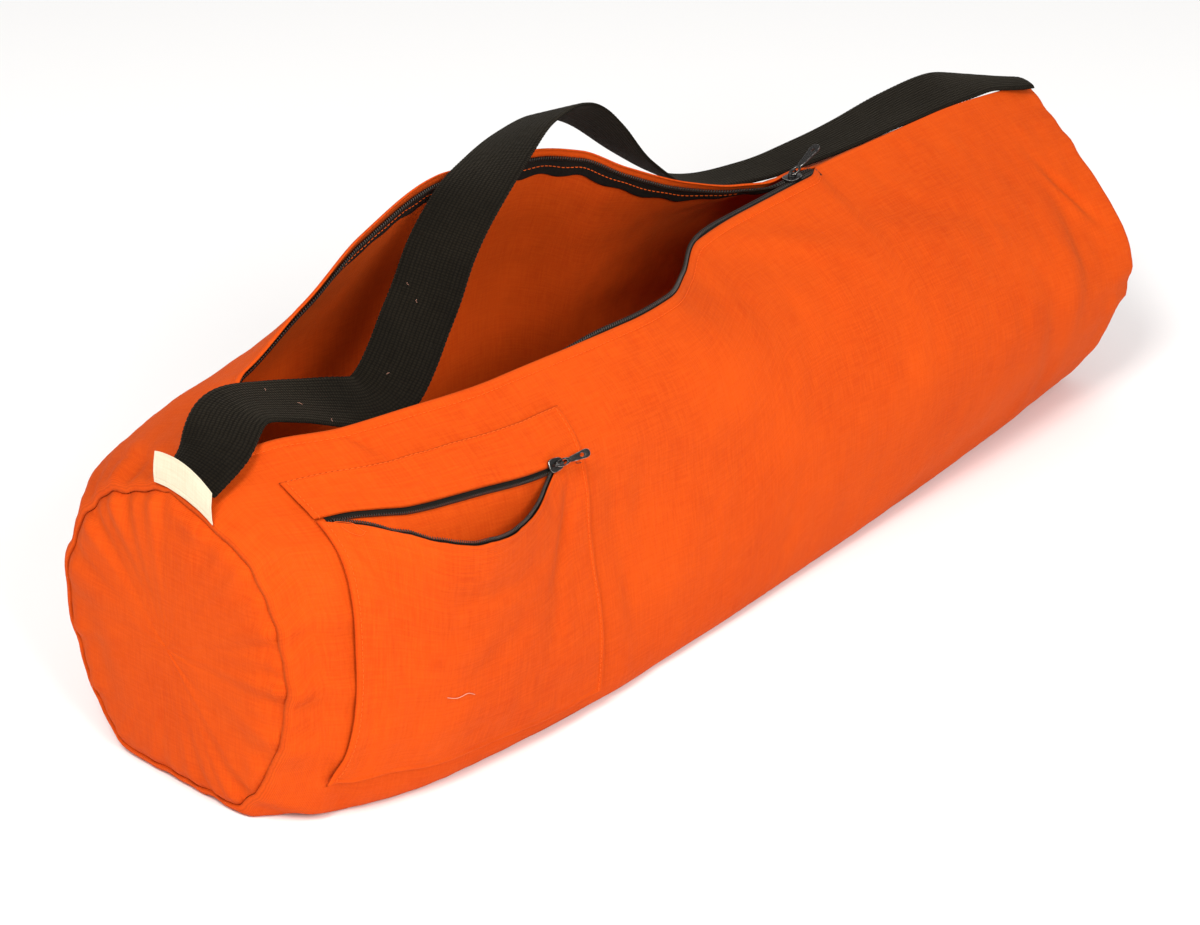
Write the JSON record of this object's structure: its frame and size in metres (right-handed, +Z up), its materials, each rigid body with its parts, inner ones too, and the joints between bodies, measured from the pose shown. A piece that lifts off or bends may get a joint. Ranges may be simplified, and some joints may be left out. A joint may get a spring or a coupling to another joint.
{
  "type": "yoga mat bag",
  "caption": "Soft canvas tube bag for a rolled yoga mat, lying with its long top zip open, with a zipped side pocket, a webbing carrying strap and a small blank seam label.",
  "frame": {"origin": "the middle of the flat base that the bag lies on", "axes": "+X along the bag, towards the end that the strap runs to after the mouth; -Y is the pocket's side; +Z up"},
  "size_m": [0.707, 0.2164, 0.2608],
  "materials": {
    "orange_canvas": "matte plain-weave cotton canvas",
    "black_zip_tape": "matte woven tape",
    "black_coil": "satin nylon coil",
    "dark_metal": "glossy dark enamel on zinc",
    "black_webbing": "matte ribbed cotton webbing",
    "cream_cotton": "matte woven cotton"
  },
  "bodies": {
    "bag": {"body_panel": "orange_canvas", "end_panel_near": "orange_canvas", "end_panel_far": "orange_canvas", "main_zip_tape_near": "black_zip_tape", "main_zip_tape_far": "black_zip_tape", "main_zip_coil_near": "black_coil", "main_zip_coil_far": "black_coil", "main_slider": "dark_metal", "pocket_strip": "orange_canvas", "pocket_panel": "orange_canvas", "pocket_zip_tape_upper": "black_zip_tape", "pocket_zip_tape_lower": "black_zip_tape", "pocket_zip_coil_upper": "black_coil", "pocket_zip_coil_lower": "black_coil", "pocket_slider": "dark_metal", "shoulder_strap": "black_webbing", "seam_label": "cream_cotton"},
    "main_pull": {"main_pull": "dark_metal"},
    "pocket_pull": {"pocket_pull": "dark_metal"}
  },
  "joints": [
    {"name": "main_pull_hinge", "type": "hinge", "parent": "bag", "child": "main_pull", "pos_m": [0.1224, 0, 0.19428], "axis": [0, -1, 0], "range_deg": [-23, 155]},
    {"name": "pocket_pull_hinge", "type": "hinge", "parent": "bag", "child": "pocket_pull", "pos_m": [-0.17214, -0.09308, 0.15203], "axis": [-0.0312, -0.4765, -0.8786], "range_deg": [-13, 165]}
  ]
}
